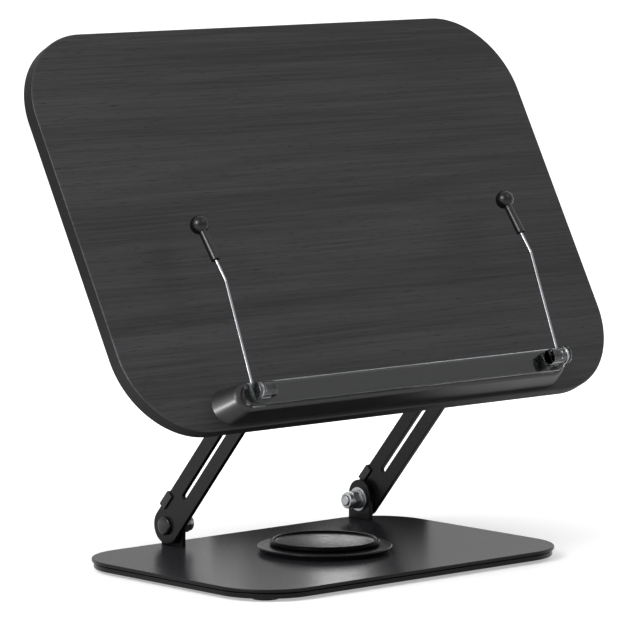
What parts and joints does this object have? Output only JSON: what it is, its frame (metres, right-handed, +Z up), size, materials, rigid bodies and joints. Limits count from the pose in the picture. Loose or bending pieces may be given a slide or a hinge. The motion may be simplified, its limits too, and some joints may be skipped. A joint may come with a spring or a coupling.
{
  "type": "rotating book stand",
  "caption": "Rotating desk book stand: swivel base, folding slotted arms on friction pivots and a tilting board with a book ledge, a clear stop bar and wire page clips.",
  "frame": {"origin": "centre of the base plate on the table, under the swivel axis", "axes": "+X to the right seen from the reader, +Y to the back, +Z up; the board faces -Y"},
  "size_m": [0.38, 0.174, 0.3162],
  "materials": {
    "powder_coated_steel": "satin black powder coat",
    "rubber": "matt black rubber",
    "zinc_plated_steel": "bright zinc plate",
    "bearing_steel": "polished",
    "cage_brass": "stamped",
    "gloss_black_plastic": "glossy moulding",
    "black_oxide_steel": "black oxide",
    "nylon": "turned nylon",
    "black_wood_laminate": "black wood grain laminate",
    "black_abs": "satin moulding",
    "clear_plastic": "clear moulding",
    "spring_wire": "bright drawn wire",
    "soft_black_tip": "smooth black vinyl"
  },
  "bodies": {
    "lower_base": {"rubber_feet": "rubber", "lower_plate": "powder_coated_steel", "swivel_bolt": "zinc_plated_steel", "swivel_washer": "zinc_plated_steel", "swivel_nut": "zinc_plated_steel", "bearing_lower_race": "bearing_steel"},
    "ball_ring": {"bearing_balls": "bearing_steel", "ball_cage": "cage_brass"},
    "turntable": {"bearing_upper_race": "bearing_steel", "upper_plate": "powder_coated_steel", "swivel_disc": "powder_coated_steel", "disc_screws": "zinc_plated_steel", "swivel_cap": "gloss_black_plastic", "left_ear": "powder_coated_steel", "right_ear": "powder_coated_steel"},
    "arms": {"left_arm": "powder_coated_steel", "right_arm": "powder_coated_steel", "left_bumper": "rubber", "right_bumper": "rubber", "lower_pivot_bolts": "black_oxide_steel", "lower_friction_washers": "nylon", "lower_flat_washers": "zinc_plated_steel", "lower_spring_washers": "zinc_plated_steel", "lower_lock_nuts": "zinc_plated_steel"},
    "upper_pivots": {"upper_pivot_bolts": "black_oxide_steel", "upper_friction_washers": "nylon", "upper_flat_washers": "zinc_plated_steel", "upper_spring_washers": "zinc_plated_steel", "upper_lock_nuts": "zinc_plated_steel"},
    "board": {"book_board": "black_wood_laminate", "left_bracket": "powder_coated_steel", "right_bracket": "powder_coated_steel", "bracket_screws": "black_oxide_steel", "ledge_rail": "black_abs", "rail_screws": "black_oxide_steel", "clear_bar": "clear_plastic", "clip_keepers": "clear_plastic"},
    "left_clip": {"left_clip_wire": "spring_wire", "left_clip_tip": "soft_black_tip"},
    "right_clip": {"right_clip_wire": "spring_wire", "right_clip_tip": "soft_black_tip"}
  },
  "joints": [
    {"name": "base_swivel", "type": "hinge", "parent": "lower_base", "child": "turntable", "pos_m": [0, 0, 0.0075], "axis": [0, 0, 1], "continuous": true},
    {"name": "ball_roll", "type": "hinge", "parent": "lower_base", "child": "ball_ring", "pos_m": [0, 0, 0.0075], "axis": [0, 0, 1], "continuous": true},
    {"name": "arm_lift", "type": "hinge", "parent": "turntable", "child": "arms", "pos_m": [0, 0.075, 0.02], "axis": [1, 0, 0], "range_deg": [-41, 49]},
    {"name": "fold_follow", "type": "hinge", "parent": "arms", "child": "upper_pivots", "pos_m": [0, -0.02013, 0.12943], "axis": [1, 0, 0], "range_deg": [-78.4, 65.6]},
    {"name": "board_tilt", "type": "hinge", "parent": "upper_pivots", "child": "board", "pos_m": [0, -0.02013, 0.12943], "axis": [1, 0, 0], "range_deg": [-30, 5]},
    {"name": "left_clip_swing", "type": "hinge", "parent": "board", "child": "left_clip", "pos_m": [0, -0.07795, 0.12147], "axis": [1, 0, 0], "range_deg": [-9, 120]},
    {"name": "right_clip_swing", "type": "hinge", "parent": "board", "child": "right_clip", "pos_m": [0, -0.07795, 0.12147], "axis": [1, 0, 0], "range_deg": [-9, 120]}
  ],
  "couplings": [
    {"joint": "ball_roll", "follows": "base_swivel", "ratio": 0.5},
    {"joint": "fold_follow", "follows": "arm_lift", "ratio": -1.6}
  ]
}
